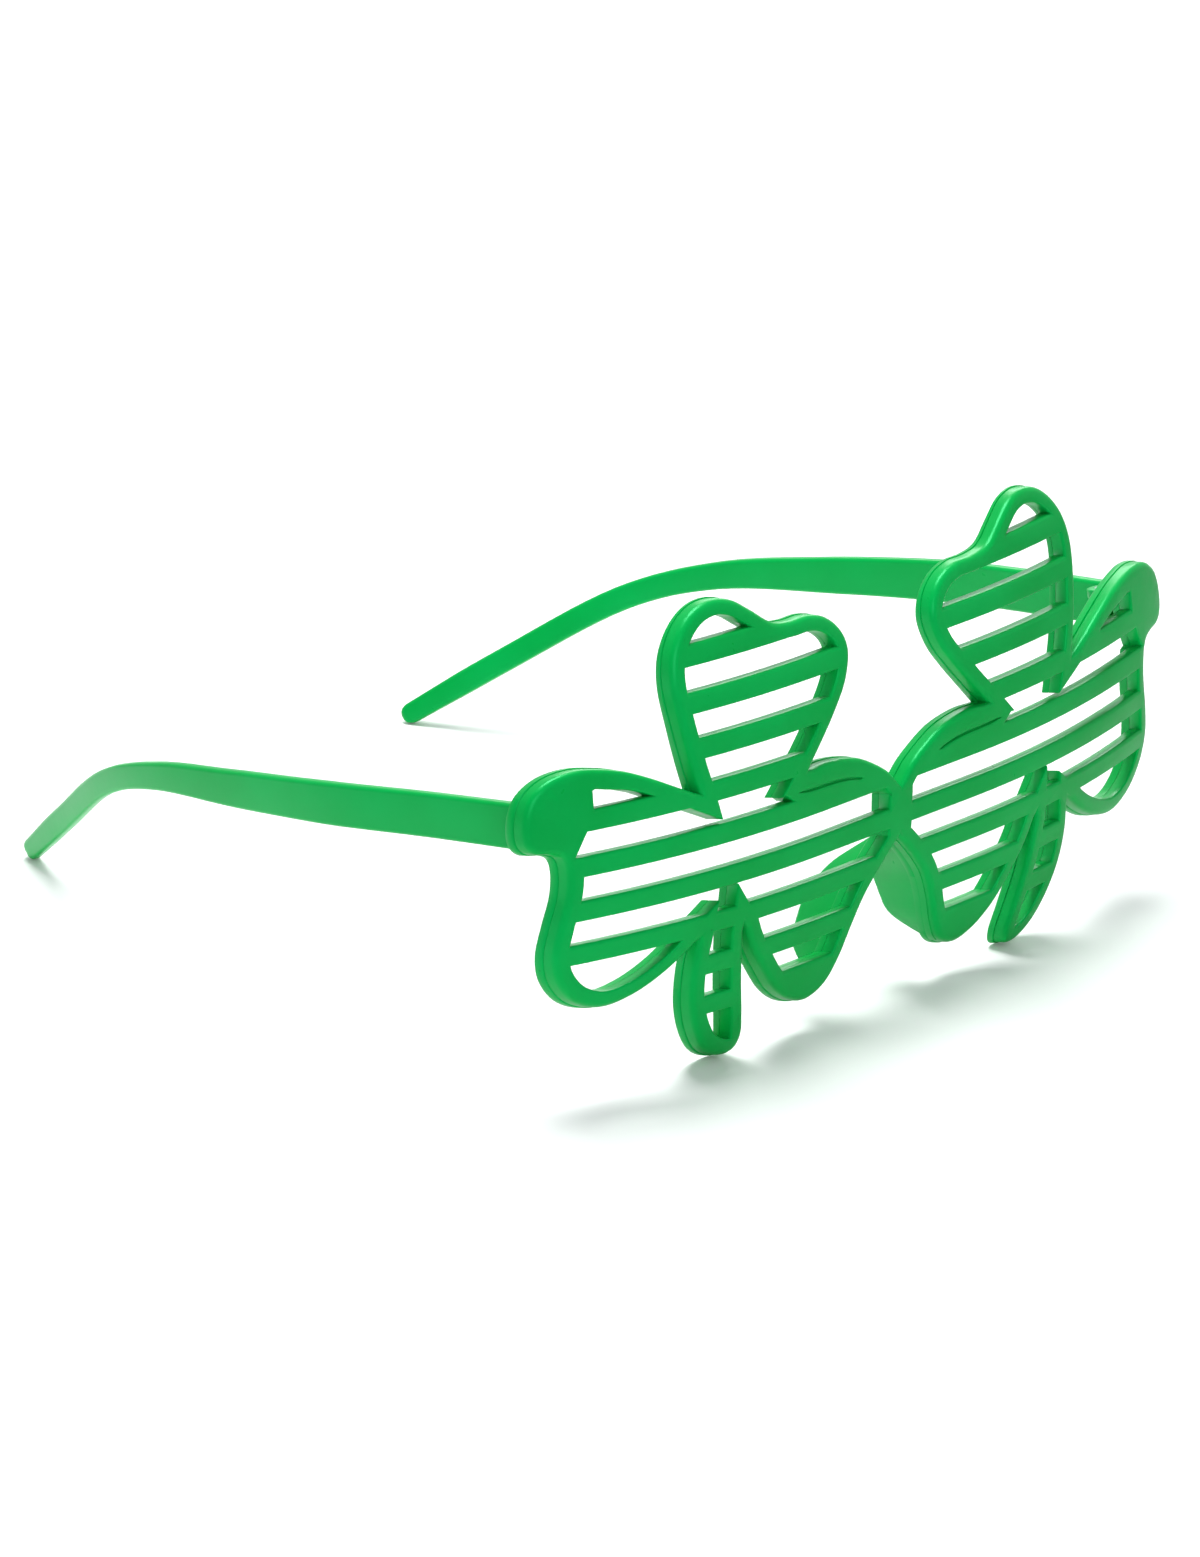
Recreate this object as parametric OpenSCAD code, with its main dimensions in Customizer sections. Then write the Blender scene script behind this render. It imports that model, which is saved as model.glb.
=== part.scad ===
// Shamrock party glasses: one louvred front moulding, two folding arms and two hinge pins.
// X runs across the face, Y from the front towards the ear tips, Z up.
// Z = 0 is the table that the two stems and the two ear tips stand on.
// Depths are measured from the foremost point of the bridge.
// Each piece is moved to the middle at the end.

/* [Front] */
// Width of the whole front
front_w = 159.8; // [156:0.2:164]
// Height of the whole front
front_h = 79.8; // [79:0.2:81]
// Half of the flat middle of the front, before the sides wrap round
flat_half = 18; // [14:0.5:22]
// Radius of the sideways wrap
wrap_r = 185; // [170:1:220]
// Radius of the bulge from top to bottom
bulge_r = 135; // [125:1:160]
// How far below the middle of the front's height the bulge stands out most
bulge_drop = 3.9; // [2.9:0.2:4.9]
// Radius of the bulge at the back of the rims, which is flatter than the face
back_bulge_r = 150; // [140:1:165]
// Depth of the rims, the stems and the end lobes
rim_depth = 4.2; // [3.8:0.1:4.6]
// Angle that the walls run down towards the back, because the open glasses lean forward on a table
lean = 13.6; // [12.6:0.2:14.4]
// Width of the rims in the face
rim_w = 2.9; // [2.6:0.1:3.1]

/* [Slats] */
// Distance from one slat to the next
slat_pitch = 7.5; // [7.3:0.05:7.7]
// Height of one slat in the face
slat_h = 3.6; // [3.2:0.1:4]
// Depth of a slat, which is less than the rim's
slat_depth = 2.6; // [2:0.1:3]
// Radius of a slat's upper front edge
slat_round = 0.8; // [0.4:0.1:1.2]
// Lower edge of the slat that ends in the end lobes, above the middle of the front's height
slat_up = 7.9; // [7.7:0.1:8.1]

/* [Nose pads] */
// How far the nose pads reach behind the face
pad_reach = 13; // [11.8:0.2:14]
// Thickness of a nose pad
pad_t = 2; // [1.6:0.1:2.4]

/* [Arms] */
// Distance of the middle of the ear tips behind the foremost point of the face
arm_reach = 150.6; // [144:0.2:156]
// Thickness of the arms
arm_t = 2.2; // [2:0.1:2.6]
// Half of the arm's height at the hinge
arm_half_h = 3.9; // [3.6:0.1:4.2]
// Half of the arm's height at the ear tip, which is also its round end's radius
tip_half_h = 1.8; // [1.5:0.1:2.1]
// Free space between an open arm and the back of the end lobe
seat_gap = 0.3; // [0.2:0.05:0.4]

/* [Hinges] */
// Distance of each hinge pin from the side edge of the front
pin_inset = 8.9; // [8.8:0.1:9.1]
// Distance of the hinge pins' middle behind the back of the end lobes
pin_back = 4.95; // [4.65:0.05:5.25]
// Height of the hinge pins' middle above the lower edge of the slat that ends in the end lobes
hinge_up = 0.8; // [0.6:0.1:1.1]
// Diameter of the hinge pins
pin_d = 1.6; // [1.4:0.1:2]
// Running clearance round the pin in the arm's knuckle
pin_gap = 0.05; // [0.03:0.01:0.08]
// Radius of the lugs and of the knuckle
knuckle_r = 2.1; // [1.9:0.05:2.2]
// Height of the knuckle between the two lugs
knuckle_h = 3.2; // [2.8:0.1:3.4]
// Height of one lug
lug_h = 1.6; // [1.4:0.1:1.7]
// Free space between the knuckle and each lug
lug_gap = 0.25; // [0.2:0.05:0.3]

/* [Hidden] */
$fn = 96;

// The points below are drawn for a front 159.8 wide and 79.8 high and arms that reach 150.6
wide = front_w / 159.8;
tall = front_h / 79.8;
long = arm_reach / 150.6;
function sized(p) = [p[0] * wide, p[1] * tall];
bulge_z = front_h / 2 - bulge_drop;
slat_z = front_h / 2 + slat_up;
// Height of the hinge pins' middle, and its distance from the middle of the front
hinge_z = slat_z + hinge_up;
pin_x = front_w / 2 - pin_inset;

// Outline of the left shamrock, seen from the front, as points that a smooth curve runs through.
// A point with a third value is a sharp corner.
leaf_points = [
    [0, 40.2, 1], [-2.7, 43], [-6, 45.2], [-10, 47.2], [-14, 48.2], [-18, 48.6], [-22.2, 48.4, 1],
    [-18.6, 52.2], [-14.8, 56.4], [-11.8, 60.4], [-10.2, 65], [-11.3, 68.8], [-14.4, 71.6],
    [-18.4, 72.9], [-23, 73], [-27, 73.8], [-31, 76.6], [-34.6, 78.9], [-38.6, 79.8], [-42.8, 79],
    [-46.6, 76.4], [-49.3, 72.4], [-50.2, 67.4], [-49.4, 60.8], [-48.2, 54.8], [-46.9, 50, 1],
    [-51, 52], [-56, 54.5], [-61, 56.6], [-66, 57.9], [-70.5, 58.3], [-75, 57.4], [-78.4, 55],
    [-79.9, 51.4], [-79.9, 47.6], [-78.3, 45.5], [-75.2, 44.9], [-73.3, 43.9], [-72.6, 41.4],
    [-72.8, 37.4], [-74.1, 32.2], [-74.8, 27.4], [-73.6, 22.6], [-70, 18.4], [-64.6, 16.4],
    [-58.6, 17.4], [-52.6, 20.2], [-46.6, 24.4, 1],
    [-47.2, 19.2], [-46.7, 13.4], [-44.8, 8], [-41.6, 3.4], [-37.6, 1.1], [-34.4, 1.4],
    [-33.2, 4.2], [-34, 8.4], [-35.4, 14.2], [-36.3, 19.8], [-36.8, 24.8, 1],
    [-34.6, 20.2], [-31.4, 15.4], [-27.6, 10.8], [-23.2, 7.6], [-18.6, 6.3], [-14.4, 8.2],
    [-11.8, 12.4], [-9.8, 17.4], [-7.4, 22.2], [-3.8, 26.6], [0, 30.4, 1]
];
// How far the rims reach into a sharp notch at most, in rim widths
notch_reach = 2.75;
// How many straight pieces draw the curve between two of those points
curve_steps = 3;
// How far the front's sides wrap round, in degrees, with some room beyond the end lobes
wrap_angle = 22 * wide;
// Where the straight walls start and end, measured along them: before the face and behind the pads
wall_from = -25;
wall_to = 35;

function flat(p) = [p[0], p[1]];
function sharp(p) = len(p) > 2;
// Point at share t of the curve from p to q, which leaves p along a and reaches q along b
function along(p, q, a, b, t) = let (u = 1 - t)
    u * u * u * p + 3 * u * u * t * (p + a / 3) + 3 * u * t * t * (q - b / 3) + t * t * t * q;
// Direction of the curve at point i, from its two neighbours
function heading(points, i) = let (b = points[max(i - 1, 0)], c = points[min(i + 1, len(points) - 1)])
    (flat(c) - flat(b)) / 2;
// Smooth curve through the points, straight into its sharp corners
function curve(points, steps) = concat([for (i = [0 : len(points) - 2]) let (
        p = flat(points[i]), q = flat(points[i + 1]),
        a = sharp(points[i]) ? q - p : heading(points, i),
        b = sharp(points[i + 1]) ? q - p : heading(points, i + 1))
    for (s = [0 : steps - 1]) along(p, q, a, b, s / steps)], [flat(points[len(points) - 1])]);
function unit(v) = v / norm(v);
function turned(v) = [-v[1], v[0]];
// A closed outline moved inwards by w, without the points where it would fold over itself;
// at a sharp notch the corner moves no further than notch_reach times w
function inset(outline, w) = let (n = len(outline), moved = [for (i = [0 : n - 1]) let (
        a = turned(unit(outline[i] - outline[(i + n - 1) % n])),
        b = turned(unit(outline[(i + 1) % n] - outline[i])), mitre = (a + b) / (1 + a * b))
    outline[i] + w * mitre * min(1, notch_reach / norm(mitre))])
    [for (q = moved) if (min([for (p = outline) norm(p - q)]) > 0.96 * w) q];

// Direction of a run of points at point i
function course(run, i) = unit(run[min(i + 1, len(run) - 1)] - run[max(i - 1, 0)]);
// A band along a run of points, with half its width given point by point
function band(run, halves) = concat(
    [for (i = [0 : len(run) - 1]) run[i] + halves[i] * turned(course(run, i))],
    [for (i = [len(run) - 1 : -1 : 0]) run[i] - halves[i] * turned(course(run, i))]);

// Distance of a face behind the bridge's face at height z, in the flat middle, for a bulge of radius r
function bulge_y(z, r) = r - sqrt(r * r - (z - bulge_z) * (z - bulge_z));
// Distance that the wrap adds at x
function wrap_y(x) = let (u = max(abs(x) - flat_half, 0)) wrap_r - sqrt(wrap_r * wrap_r - u * u);
// Distance of the hinge pins' middle behind the foremost point of the face, in whole hundredths
pin_y = round(100 * (wrap_y(pin_x) + rim_depth + pin_back)) / 100;
// A point of the face seen along the leaning walls
function seen(p) = [p[0], p[1] * cos(lean) + (bulge_y(p[1], bulge_r) + wrap_y(p[0])) * sin(lean)];

leaf = [for (p = curve(leaf_points, curve_steps)) seen(sized(p))];
window = inset(leaf, rim_w);

// Outer side of the stem, which the lowest slats run out to
stem_side = 48 * wide;
// Heights of the slats' lower edges, from the lowest to the highest
row_z = [for (i = [-5 : 3]) slat_z + slat_pitch * i];
// The lowest slat that the two big leaves share, and the top of the lowest slat of all
shared_z = row_z[2];
solid_z = row_z[0] + slat_h;
// Heights where the bulge's section bends: every slat's two edges
bend_z = [for (i = [-7 : 4]) each [slat_z + slat_pitch * i, slat_z + slat_pitch * i + slat_h]];

// Section of the front: its face moved back by near, and its flatter back moved back by far
function shell_section(near, far) = concat([for (z = bend_z) [bulge_y(z, bulge_r) + near, z]],
    [for (i = [len(bend_z) - 1 : -1 : 0]) [bulge_y(bend_z[i], back_bulge_r) + far, bend_z[i]]]);

// Section of one slat, open towards the face, with its upper front edge rounded
function slat_section(z) = let (y = bulge_y(z + slat_h / 2, bulge_r), top = z + slat_h, r = slat_round,
        drop = slat_depth * tan(lean)) [
    [y - 2, z], [y, z], [y + slat_depth, z - drop], [y + slat_depth, top - drop],
    [y + r, top - r * tan(lean)],
    for (a = [60, 30]) [y + r - r * cos(a), top - r + r * sin(a)], [y, top - r], [y - 2, top - r]];

// Rear edge of a nose pad: share of its reach, and height
pad_edge = [[0, 29.6], [0.43, 26.3], [0.73, 23.8], [0.92, 20.8], [0.99, 18.3], [1, 15.6],
    [0.95, 12.1], [0.75, 10.2], [0.5, 9], [0.25, 7.8], [0, 6.6]];

// Middle line of the left arm seen from above: how far outside the hinge pin it lies, and y
arm_plan = [for (p = [[3.9, 12.5], [5, 35], [5.6, 57], [3.2, 80], [-0.8, 101], [-6.6, 118], [-16, 136],
    [-25, 154], [-27.5, 159]]) [-pin_x - p[0] * wide, p[1] * long]];
// Middle line of the arm seen from the side: y, and its share of the height from the tip to the hinge.
// It ends where its round tip stands on the table.
arm_side = [for (p = [[12.5, 1], [35, 0.934], [57, 0.859], [80, 0.771], [101, 0.679], [118, 0.53],
    [136, 0.246], [150.6, 0]]) [p[0] * long, tip_half_h + p[1] * (hinge_z - tip_half_h)]];
// Share of the way from the tip's own height to the arm's height at the hinge, along y
arm_growth = [for (p = [[12, 1], [57, 0.87], [78, 0.67], [94, 0.4], [102, 0.25], [110, 0.17], [142, 0.13],
    [151, 0]]) [p[0] * long, p[1]]];
// The room from side to side that the left arm stays in
arm_from = -pin_x - 14 * wide;
arm_to = -pin_x + 36 * wide;
arm_steps = 4;
// The origin lies under the middle of the open glasses, half their depth behind the face
middle_y = (arm_side[len(arm_side) - 1][0] + tip_half_h) / 2;

// Sweeps a section of depth and height along the left half of the front: straight, then round
module sweep_left(section) {
    translate([-flat_half, 0, 0])
        rotate([90, 0, 90])
        linear_extrude(flat_half)
        polygon(section);
    mirror([1, 0, 0])
        translate([flat_half, wrap_r, 0])
        rotate([0, 0, -90])
        rotate_extrude(angle = wrap_angle, $fn = 360)
        polygon([for (p = section) [wrap_r - p[0], p[1]]]);
}

// Draws an outline of the face, as seen along the walls, as a solid that runs back and down;
// past is added at both ends
module run_back(outline, past = 0) {
    rotate([-lean, 0, 0])
        translate([0, wall_to + past, 0])
        rotate([90, 0, 0])
        linear_extrude(wall_to - wall_from + 2 * past)
        polygon(outline);
}

// Draws an outline of depth and height as a solid that runs across, between two distances
module run_across(outline, from, to) {
    translate([from, 0, 0])
        rotate([90, 0, 90])
        linear_extrude(to - from)
        polygon(outline);
}

// The opening inside the rims, with the slats left standing in it
module louvres_left() {
    difference() {
        run_back(window);
        for (z = [for (z = row_z) if (z >= shared_z) z])
            sweep_left(slat_section(z));
        // The lowest slats cross the stem and the inner leaf, and not the outer one
        for (z = [for (z = row_z) if (z < shared_z) z])
            intersection() {
                sweep_left(slat_section(z));
                translate([-stem_side, -slat_depth, 0])
                    cube([stem_side, wall_to, shared_z]);
            }
        // The tip of the inner leaf is solid
        run_back([for (p = [[-33 * wide, 0], [0, 0], [0, solid_z], [-33 * wide, solid_z]]) seen(p)], 1);
        // The end lobe that the hinge sits on is solid
        run_back([for (p = [[-90 * wide, front_h], [-68.3 * wide, front_h], [-68.3 * wide, slat_z + slat_h],
            [-69.9 * wide, slat_z], [-71.6 * wide, slat_z + slat_h - slat_pitch], [-75 * wide, 43.3 * tall],
            [-90 * wide, 43.3 * tall]]) seen(p)], 1);
    }
}

// A wall that runs back from the inner leaf's lower edge
module nose_pad_left() {
    intersection() {
        difference() {
            run_back(leaf);
            run_back(inset(leaf, pad_t), 1);
        }
        run_across(concat([for (p = curve(pad_edge, curve_steps))
            [rim_depth + p[0] * (pad_reach - rim_depth), p[1] * tall]],
            [[rim_depth / 2, pad_edge[0][1] * tall]]), -15.5 * wide, -0.2);
    }
}

// Puts its children at the left hinge: the origin is the pin's middle, and Z is the pin
module at_left_hinge() {
    translate([-pin_x, pin_y, hinge_z])
        rotate([-lean, 0, 0])
        children();
}

// A round eye on the pin, with a straight root of the same width that runs off to one side
module hinge_eye(bottom, height, root, turn) {
    translate([0, 0, bottom])
        rotate([0, 0, turn]) {
            cylinder(r = knuckle_r, h = height);
            translate([-knuckle_r, -root, 0])
                cube([2 * knuckle_r, root, height]);
        }
}

// Half the length of a pin, which ends flush with its two lugs
pin_half = knuckle_h / 2 + lug_gap + lug_h;
lug_root = pin_y - wrap_y(pin_x) - rim_depth + 1;

module front_left_half() {
    difference() {
        union() {
            difference() {
                intersection() {
                    run_back(leaf);
                    sweep_left(shell_section(0, rim_depth));
                }
                louvres_left();
            }
            nose_pad_left();
            at_left_hinge()
                for (bottom = [-pin_half, pin_half - lug_h])
                    hinge_eye(bottom, lug_h, lug_root, 0);
        }
        at_left_hinge()
            cylinder(d = pin_d, h = 2 * pin_half + 2, center = true);
    }
}

module front_frame() {
    color("mediumseagreen")
    translate([0, -middle_y, 0]) {
        front_left_half();
        mirror([1, 0, 0])
            front_left_half();
    }
}

module temple_left() {
    side = curve(arm_side, arm_steps);
    plan = curve(arm_plan, arm_steps);
    tip = side[len(side) - 1];
    color("mediumseagreen")
    translate([0, -middle_y, 0])
    difference() {
        union() {
            intersection() {
                linear_extrude(hinge_z + 2 * arm_half_h)
                    polygon(band(plan, [for (p = plan) arm_t / 2]));
                union() {
                    run_across(band(side, [for (p = side)
                        tip_half_h + (arm_half_h - tip_half_h) * lookup(p[0], arm_growth)]),
                        arm_from, arm_to);
                    translate([arm_from, tip[0], tip[1]])
                        rotate([0, 90, 0])
                        cylinder(r = tip_half_h, h = arm_to - arm_from);
                }
            }
            at_left_hinge()
                hinge_eye(-knuckle_h / 2, knuckle_h, -arm_plan[0][0] - pin_x, -90);
        }
        // The front end follows the back of the end lobe
        sweep_left(shell_section(-10, rim_depth + seat_gap));
        at_left_hinge()
            cylinder(d = pin_d + 2 * pin_gap, h = 2 * pin_half, center = true);
    }
}

module temple_right() {
    mirror([1, 0, 0])
        temple_left();
}

module hinge_pin_left() {
    color("silver")
    translate([0, -middle_y, 0])
        at_left_hinge()
        cylinder(d = pin_d, h = 2 * pin_half, center = true);
}

module hinge_pin_right() {
    mirror([1, 0, 0])
        hinge_pin_left();
}

front_frame();
temple_left();
temple_right();
hinge_pin_left();
hinge_pin_right();
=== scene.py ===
import math

import bmesh
import bpy
from mathutils import Matrix, Vector


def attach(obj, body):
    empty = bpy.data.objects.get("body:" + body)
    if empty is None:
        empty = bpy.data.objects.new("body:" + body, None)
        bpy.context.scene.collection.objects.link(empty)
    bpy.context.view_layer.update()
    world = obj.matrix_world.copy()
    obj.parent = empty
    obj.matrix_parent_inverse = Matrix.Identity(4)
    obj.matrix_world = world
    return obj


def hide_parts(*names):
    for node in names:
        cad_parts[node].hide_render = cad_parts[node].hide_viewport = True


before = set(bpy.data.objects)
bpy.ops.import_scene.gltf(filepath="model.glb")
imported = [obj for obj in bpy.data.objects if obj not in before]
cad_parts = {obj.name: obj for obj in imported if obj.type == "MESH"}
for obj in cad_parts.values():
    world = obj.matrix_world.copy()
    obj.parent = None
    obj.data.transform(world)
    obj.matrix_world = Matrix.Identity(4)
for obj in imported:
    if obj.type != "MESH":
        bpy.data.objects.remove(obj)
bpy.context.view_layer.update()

MM = 0.001

# The face is flat in the middle and bends back to the sides, and it bulges around one height.
# The rim's back bulges less.
FLAT_HALF = 18.0
WRAP_R = 185.0
BULGE_R = 135.0
BULGE_Z = 36.0
BACK_BULGE_R = 150.0
# How far the front lies behind the drawn face, so that no point of it stands out
SET_BACK = 0.002

# The rim, its walls' lean, and how far it reaches into a sharp notch, in widths
RIM_DEPTH = 4.2
RIM_W = 2.9
LEAN = math.radians(13.6)
NOTCH_REACH = 2.75

# The slats, and the lower edge of the one that rows are counted from
SLAT_PITCH = 7.5
SLAT_H = 3.6
SLAT_DEPTH = 2.6
SLAT_Z = 47.8

# The pads, the arms from root to tip, and the gap between an arm and the lobe in front of it
PAD_REACH = 13.0
PAD_T = 2.0
ARM_T = 2.2
ARM_HALF_H = 3.9
TIP_HALF_H = 1.8
SEAT_GAP = 0.3

# The hinges: the pin's middle, the arm's knuckle on it, and the lugs above and below
PIN_X = 71.0
PIN_Y = 16.9
HINGE_Z = 48.6
PIN_R = 0.8
PIN_GAP = 0.05
KNUCKLE_R = 2.1
KNUCKLE_H = 3.2
LUG_H = 1.6
LUG_GAP = 0.25
LUG_INTO_RIM = 1

# The middle of the glasses from front to back, which is the model's origin
MIDDLE_Y = 76.2

# Rounding of the moulding's edges
OUTER_ROUND = 1.0
SLAT_TOP_ROUND = 0.8
SLAT_UNDER_ROUND = 0.25
RIM_INNER_ROUND = 0.45
SMOOTH_ANGLE = math.radians(40)

# How far the face stands in from the lip behind the parting line, and the notch along that line
LIP = 0.2
PARTING_NOTCH = 0.08
# Rings of the rim behind the parting line: depth, move in of the outline, move in of the windows
BAND_RINGS = [
    (SLAT_DEPTH, 0.13, 0), (SLAT_DEPTH + 0.1, 0.03, 0), (RIM_DEPTH - 0.25, 0.03, 0),
    (RIM_DEPTH - 0.07, 0.1, -0.07), (RIM_DEPTH, 0.28, -0.25),
]

# The blind groove, and how far its floor reaches into the plastic beside and behind it
GROOVE_DEPTH = 0.5
FLOOR_SIDES = 0.35
FLOOR_BACK = 0.3

# Steps of a drawn curve from one of its points to the next
LEAF_STEPS = 6
GROOVE_STEPS = 3
PAD_STEPS = 4
ARM_STEPS = 8

# Moving a loop: how far a corner may go, in moves of its sides; how straight two sides are that
# move as one; and under which share of the move a point is taken for a fold
MITRE = 1.6
STRAIGHT = 0.05
FOLD_SHARE = 0.96
# Points closer than this are one, and a loop may cross itself within so many sides
SAME_POINT = 0.06
CROSSING_SIDES = 8
# Rounds of the searches: for a polygon's border, the rim's depth and a point's height
BORDER_ROUNDS = 24
DEPTH_ROUNDS = 6
HEIGHT_ROUNDS = 20

# Strips that the front is cut in, so that it can follow its curves
STRIP = 4
STRIPS_X = range(-19, 20)
STRIPS_Z = range(1, 20)
# Rings of a rounded edge, in degrees from the face to the wall
EDGE_ANGLES = (0, 22, 45, 67, 90)

# Rows of slats, counted from the slat at SLAT_Z; those under the shared row are low slats, which
# lie only inwards of a place. Slots smaller than an area aren't open.
SLAT_ROWS = range(-5, 4)
SHARED_ROW = -3
LOW_SLATS_FROM_X = -48
LEAST_SLOT_AREA = 1.5
# How far a point may be from a slat's edge and still lie on it
ON_EDGE = 0.01
ON_ROUNDED_EDGE = 0.02

# Nose pads: the part of the leaf's edge that they stand on, where a pad starts behind the face,
# its depth's upper bound, and the step to find it
PAD_FROM_X, PAD_TO_X, PAD_BELOW_Z = -15.5, -0.3, 30.2
PAD_ROOT = 1.4
PAD_DEEPEST = 14
PAD_SEARCH_STEP = 0.05
PAD_LIP_SHARE = 0.25
# A pad's section: share of its thickness, and how much less deep it is there; None is the root
PAD_SECTION = [
    (0, None), (0, 0.7), (0.08, 0.3), (0.25, 0.08), (0.5, 0), (0.75, 0.08), (0.92, 0.3),
    (1, 0.7), (1, None),
]

# Hinge eyes: sides of the circle, edge rounding as (inset, height), and the arm's root
EYE_SIDES = 32
EYE_EDGE = [(0.22, 0), (0.06, 0.06), (0, 0.22)]
BORE_FLARE = 0.35
KNUCKLE_ROOT = 3.9

# Arms: rounding of the long edges, at most this share of the section; the rings of the front
# end as (pull in, gap behind), with room behind them; and the angles of the round tip's rings
ARM_CORNER = 0.7
ARM_CORNER_SHARE = 0.9
CORNER_STEPS = 4
ARM_END_RINGS = [(0.25, 0), (0.07, 0.07), (0, 0.25)]
ARM_END_ROOM = 0.2
TIP_ANGLES = (15, 30, 45, 60, 72, 82)
TIP_THINS_FROM = 30

# Outline of the left shamrock from the bridge's top round to its underside; a third value marks
# a sharp corner
LEAF_POINTS = [
    (0, 40.2, 1), (-2.7, 43), (-6, 45.2), (-10, 47.2), (-14, 48.2), (-18, 48.6), (-22.2, 48.4, 1),
    (-18.6, 52.2), (-14.8, 56.4), (-11.8, 60.4), (-10.2, 65), (-11.3, 68.8), (-14.4, 71.6),
    (-18.4, 72.9), (-23, 73), (-27, 73.8), (-31, 76.6), (-34.6, 78.9), (-38.6, 79.8), (-42.8, 79),
    (-46.6, 76.4), (-49.3, 72.4), (-50.2, 67.4), (-49.4, 60.8), (-48.2, 54.8), (-46.9, 50, 1),
    (-51, 52), (-56, 54.5), (-61, 56.6), (-66, 57.9), (-70.5, 58.3), (-75, 57.4), (-78.4, 55),
    (-79.9, 51.4), (-79.9, 47.6), (-78.3, 45.5), (-75.2, 44.9), (-73.3, 43.9), (-72.6, 41.4),
    (-72.8, 37.4), (-74.1, 32.2), (-74.8, 27.4), (-73.6, 22.6), (-70, 18.4), (-64.6, 16.4),
    (-58.6, 17.4), (-52.6, 20.2), (-46.6, 24.4, 1),
    (-47.2, 19.2), (-46.7, 13.4), (-44.8, 8), (-41.6, 3.4), (-37.6, 1.1), (-34.4, 1.4),
    (-33.2, 4.2), (-34, 8.4), (-35.4, 14.2), (-36.3, 19.8), (-36.8, 24.8, 1),
    (-34.6, 20.2), (-31.4, 15.4), (-27.6, 10.8), (-23.2, 7.6), (-18.6, 6.3), (-14.4, 8.2),
    (-11.8, 12.4), (-9.8, 17.4), (-7.4, 22.2), (-3.8, 26.6), (0, 30.4, 1),
]
# The room that the solid end lobe fills, and its edge towards the slots
LOBE_ROOM = [
    (-90, 80), (-57, 80), (-57, 51.85), (-61, 53.25), (-66.9, 54.5), (-66.9, 43.65), (-90, 43.65),
]
LOBE_EDGE = [
    (-61, 53.25), (-66.9, 54.5), (-67.4, 54.3), (-67.4, 51.4), (-68.9, 47.8), (-71.1, 43.95),
]
# Beside the bridge the topmost slat grows into the rim above it, and only a blind groove parts
# the two
JOINED_ROOM = [(-26.6, 43.8), (0, 43.8), (0, 49), (-29, 49), (-29, 45.6)]
JOINED_EDGE = [(-26.6, 43.8)]
GROOVE_TOP = [
    (-25.2, 44.9), (-22.7, 44.86), (-18.7, 44.8), (-16, 44.68), (-13.8, 44.45), (-12, 44.1),
    (-9.8, 43.5),
]
GROOVE_BOTTOM = [
    (-10.4, 43.55), (-12.2, 43.95), (-14, 44.22), (-16.2, 44.42), (-19, 44.52), (-22.7, 44.62),
]
# The inner leaf's tip, which is solid
TIP_ROOM = [(-33, 0), (0, 0), (0, 13.9), (-33, 13.9)]
# A pad's rear edge as (share of its reach, height)
PAD_EDGE = [
    (0, 29.6), (0.43, 26.3), (0.73, 23.8), (0.92, 20.8), (0.99, 18.3), (1, 15.6),
    (0.95, 12.1), (0.75, 10.2), (0.5, 9), (0.25, 7.8), (0, 6.6),
]
# An arm from above as (outwards from the pin, Y), from the side as (Y, share of the way from the
# tip's height to the hinge's), and its own height as (Y, share of the way from tip to root)
ARM_PLAN = [
    (3.9, 12.5), (5, 35), (5.6, 57), (3.2, 80), (-0.8, 101), (-6.6, 118), (-16, 136), (-25, 154),
    (-27.5, 159),
]
ARM_SIDE = [
    (12.5, 1), (35, 0.934), (57, 0.859), (80, 0.771), (101, 0.679), (118, 0.53), (136, 0.246),
    (150.6, 0),
]
ARM_GROWTH = [
    (12, 1), (57, 0.87), (78, 0.67), (94, 0.4), (102, 0.25), (110, 0.17), (142, 0.13), (151, 0),
]

# The set: the table just under the lowest point of the glasses, its glow that only the camera
# sees, and the painted shade that darkens it in the plastic's sheen from one Y to another
TABLE_SIZE = 8
TABLE_Z = -0.0002
TABLE_GLOW = 0.06
SHADE_FROM_Y, SHADE_TO_Y, SHADE_MOST = 0.03, -0.11, 0.8
# The room's light, and how far its white shows in the sheen
ROOM_LIGHT = 0.34
ROOM_IN_SHEEN = 0.25

# Camera that was fitted to the photo
PHOTO_HEIGHT = 1557
FOCAL_LENGTH_PX = 13901.82
SENSOR_HEIGHT = 24.0


# Lines and curves
def smooth_run(points, steps):
    """The points of a smooth curve through the drawn points, straight into its sharp corners."""
    run = []
    for i in range(len(points) - 1):
        p, q = Vector(points[i][:2]), Vector(points[i + 1][:2])
        lean_in = (q - Vector(points[max(i - 1, 0)][:2])) / 2
        lean_out = (Vector(points[min(i + 2, len(points) - 1)][:2]) - p) / 2
        a = q - p if len(points[i]) > 2 else lean_in
        b = q - p if len(points[i + 1]) > 2 else lean_out
        for s in range(steps):
            t = s / steps
            u = 1 - t
            near_p, near_q = p + a / 3, q - b / 3
            run.append(u**3 * p + 3 * u * u * t * near_p + 3 * u * t * t * near_q + t**3 * q)
    run.append(Vector(points[-1][:2]))
    return run


def value_at(table, at):
    """The value beside a place in a table of (place, value), straight between its rows."""
    rows = sorted((row[0], row[1]) for row in table)
    for (a, va), (b, vb) in zip(rows, rows[1:]):
        if at <= b:
            return va + (vb - va) * max(at - a, 0) / (b - a)
    return rows[-1][1]


def turned(v):
    """The vector, a quarter turn to the left."""
    return Vector((-v[1], v[0]))


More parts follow.
